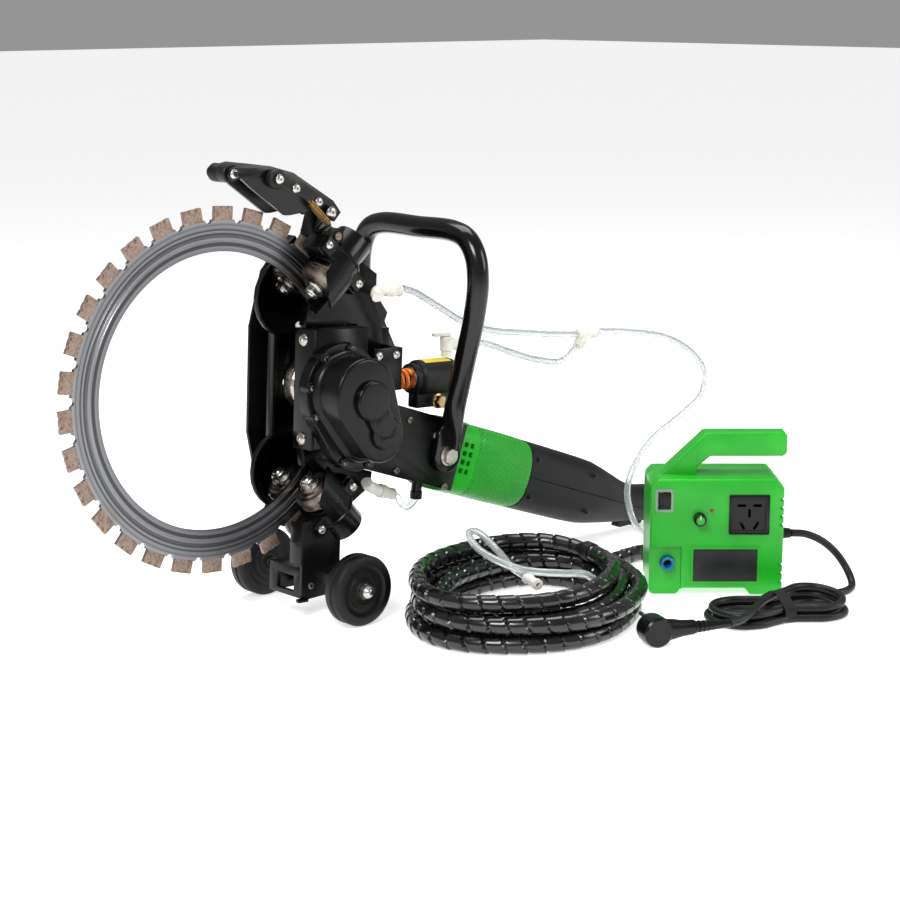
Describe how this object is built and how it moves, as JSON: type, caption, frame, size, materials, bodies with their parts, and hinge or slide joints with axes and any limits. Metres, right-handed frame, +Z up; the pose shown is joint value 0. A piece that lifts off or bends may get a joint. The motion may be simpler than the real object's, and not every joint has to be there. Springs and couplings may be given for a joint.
{
  "type": "electric ring saw with water pump",
  "caption": "Hand-held wet ring saw: ring blade held by guide rollers and turned by a friction wheel, with a bail handle, transport wheels, water hose, pump box and mains lead.",
  "frame": {"origin": "centre of the footprint of saw and pump box, on the ground", "axes": "+Z up; +X from the ring towards the rear handle; +Y from the gear-cover side to the far-cover side, along the ring axis"},
  "size_m": [1.047, 0.5604, 0.5107],
  "materials": {
    "black_casting": "black gloss paint on cast alloy",
    "black_plastic": "fine-textured moulding",
    "green_plastic": "semi-gloss moulding",
    "steel": "turned and ground",
    "gear_steel": "oiled steel",
    "ring_steel": "brushed steel with sintered rim segments",
    "orange_steel": "orange enamel on spring wire",
    "brass_wire": "brassed spring wire",
    "white_plastic": "moulded",
    "clear_tube": "clear soft tube",
    "rubber": "black, satin",
    "copper": "varnished winding",
    "blue_plastic": "moulded"
  },
  "bodies": {
    "frame": {"roller_frame_upper": "black_casting", "roller_frame_lower": "black_casting", "roller_housing_upper_near": "black_casting", "roller_housing_lower_near": "black_casting", "clamp_cap_upper": "black_casting", "clamp_cap_lower": "black_casting", "far_cover": "black_casting", "gearbox_case": "black_casting", "gear_cover": "black_casting", "front_strap": "black_casting", "side_plate": "black_casting", "bail_handle": "black_casting", "axle_bracket": "black_casting", "rear_shell_upper": "black_plastic", "rear_shell_lower": "black_plastic", "spring_cup": "black_plastic", "pump_motor": "black_plastic", "pump_socket": "black_plastic", "motor_housing": "green_plastic", "pump_front_shell": "green_plastic", "pump_back_shell": "green_plastic", "stator": "gear_steel", "wheel_axle": "gear_steel", "tension_spring": "orange_steel", "arm_spring": "brass_wire", "upper_elbow": "white_plastic", "lower_elbow": "white_plastic", "water_valve": "white_plastic", "y_connector": "white_plastic", "upper_hose": "clear_tube", "branch_hose": "clear_tube", "main_hose": "clear_tube", "bundle_hose": "clear_tube", "umbilical_lead": "rubber", "umbilical_coil": "rubber", "mains_lead": "rubber", "mains_hank": "rubber", "mains_plug": "rubber"},
    "ring": {"ring_blade": "ring_steel"},
    "drive": {"drive_wheel": "gear_steel", "drive_gear_shaft": "gear_steel"},
    "layshaft": {"layshaft_gears": "gear_steel"},
    "bevel": {"bevel_gear_shaft": "gear_steel"},
    "rotor": {"motor_shaft": "gear_steel", "armature": "copper"},
    "roller_upper_near": {"guide_roller_upper_near": "steel"},
    "roller_upper_far": {"guide_roller_upper_far": "steel"},
    "roller_lower_near": {"guide_roller_lower_near": "steel"},
    "roller_lower_far": {"guide_roller_lower_far": "steel"},
    "front_wheel_near": {"wheel_near": "rubber"},
    "front_wheel_far": {"wheel_far": "rubber"},
    "arm": {"guard_arm": "black_plastic"},
    "arm_roller": {"arm_end_roller": "rubber"},
    "arm_wheel": {"arm_front_wheel": "rubber"},
    "trigger": {"trigger": "rubber"},
    "lever": {"valve_lever": "white_plastic"},
    "rocker": {"pump_rocker": "black_plastic"},
    "knob": {"pump_knob": "black_plastic"},
    "collar": {"outlet_collar": "blue_plastic"}
  },
  "joints": [
    {"name": "ring_spin", "type": "hinge", "parent": "frame", "child": "ring", "pos_m": [-0.265, 0.109, 0.266], "axis": [0, 1, 0], "continuous": true},
    {"name": "drive_spin", "type": "hinge", "parent": "frame", "child": "drive", "pos_m": [-0.13816, 0.109, 0.25958], "axis": [0, 1, 0], "continuous": true},
    {"name": "layshaft_spin", "type": "hinge", "parent": "frame", "child": "layshaft", "pos_m": [-0.11556, 0.109, 0.21167], "axis": [0, 1, 0], "continuous": true},
    {"name": "bevel_spin", "type": "hinge", "parent": "frame", "child": "bevel", "pos_m": [-0.07783, 0.109, 0.19838], "axis": [0, 1, 0], "continuous": true},
    {"name": "motor_spin", "type": "hinge", "parent": "frame", "child": "rotor", "pos_m": [-0.02124, 0.109, 0.17845], "axis": [0.9432, 0, -0.3322], "continuous": true},
    {"name": "roller_upper_near_spin", "type": "hinge", "parent": "frame", "child": "roller_upper_near", "pos_m": [-0.13787, 0.083, 0.37887], "axis": [0.7478, 0, 0.6639], "continuous": true},
    {"name": "roller_upper_far_spin", "type": "hinge", "parent": "frame", "child": "roller_upper_far", "pos_m": [-0.13787, 0.135, 0.37887], "axis": [0.7478, 0, 0.6639], "continuous": true},
    {"name": "roller_lower_near_spin", "type": "hinge", "parent": "frame", "child": "roller_lower_near", "pos_m": [-0.14993, 0.083, 0.14086], "axis": [0.6769, 0, -0.7361], "continuous": true},
    {"name": "roller_lower_far_spin", "type": "hinge", "parent": "frame", "child": "roller_lower_far", "pos_m": [-0.14993, 0.135, 0.14086], "axis": [0.6769, 0, -0.7361], "continuous": true},
    {"name": "wheel_near_spin", "type": "hinge", "parent": "frame", "child": "front_wheel_near", "pos_m": [-0.14398, 0.019, 0.03999], "axis": [0, 1, 0], "continuous": true},
    {"name": "wheel_far_spin", "type": "hinge", "parent": "frame", "child": "front_wheel_far", "pos_m": [-0.14398, 0.192, 0.03999], "axis": [0, 1, 0], "continuous": true},
    {"name": "arm_lift", "type": "hinge", "parent": "frame", "child": "arm", "pos_m": [-0.12341, 0.109, 0.45208], "axis": [0, 1, 0], "range_deg": [0, 35], "stiffness_Nm_per_rad": 0.4},
    {"name": "arm_roller_spin", "type": "hinge", "parent": "arm", "child": "arm_roller", "pos_m": [-0.25111, 0.109, 0.5006], "axis": [0, 1, 0], "continuous": true},
    {"name": "arm_wheel_spin", "type": "hinge", "parent": "arm", "child": "arm_wheel", "pos_m": [-0.20043, 0.083, 0.49302], "axis": [0, 1, 0], "continuous": true},
    {"name": "trigger_press", "type": "hinge", "parent": "frame", "child": "trigger", "pos_m": [0.36922, 0.109, 0.01975], "axis": [0, -1, 0], "range_deg": [0, 6], "stiffness_Nm_per_rad": 0.6},
    {"name": "valve_turn", "type": "hinge", "parent": "frame", "child": "lever", "pos_m": [0.0708, 0.109, 0.29305], "axis": [0.0506, 0, 0.9987], "range_deg": [0, 90]},
    {"name": "rocker_tilt", "type": "hinge", "parent": "frame", "child": "rocker", "pos_m": [0.1955, -0.12794, 0.113], "axis": [0.7385, -0.6743, 0], "range_deg": [-5, 5]},
    {"name": "knob_turn", "type": "hinge", "parent": "frame", "child": "knob", "pos_m": [0.22409, -0.15743, 0.092], "axis": [0.6743, 0.7385, 0], "range_deg": [0, 270]},
    {"name": "collar_press", "type": "slide", "parent": "frame", "child": "collar", "axis": [0.6743, 0.7385, 0], "range_m": [0, 0.002], "stiffness_N_per_m": 300}
  ],
  "couplings": [
    {"joint": "drive_spin", "follows": "ring_spin", "ratio": 6.08},
    {"joint": "layshaft_spin", "follows": "ring_spin", "ratio": -10.88},
    {"joint": "bevel_spin", "follows": "ring_spin", "ratio": 13.298},
    {"joint": "motor_spin", "follows": "ring_spin", "ratio": 39.893},
    {"joint": "roller_upper_near_spin", "follows": "ring_spin", "ratio": -6.9388},
    {"joint": "roller_upper_far_spin", "follows": "ring_spin", "ratio": 6.9388},
    {"joint": "roller_lower_near_spin", "follows": "ring_spin", "ratio": -6.9388},
    {"joint": "roller_lower_far_spin", "follows": "ring_spin", "ratio": 6.9388}
  ]
}
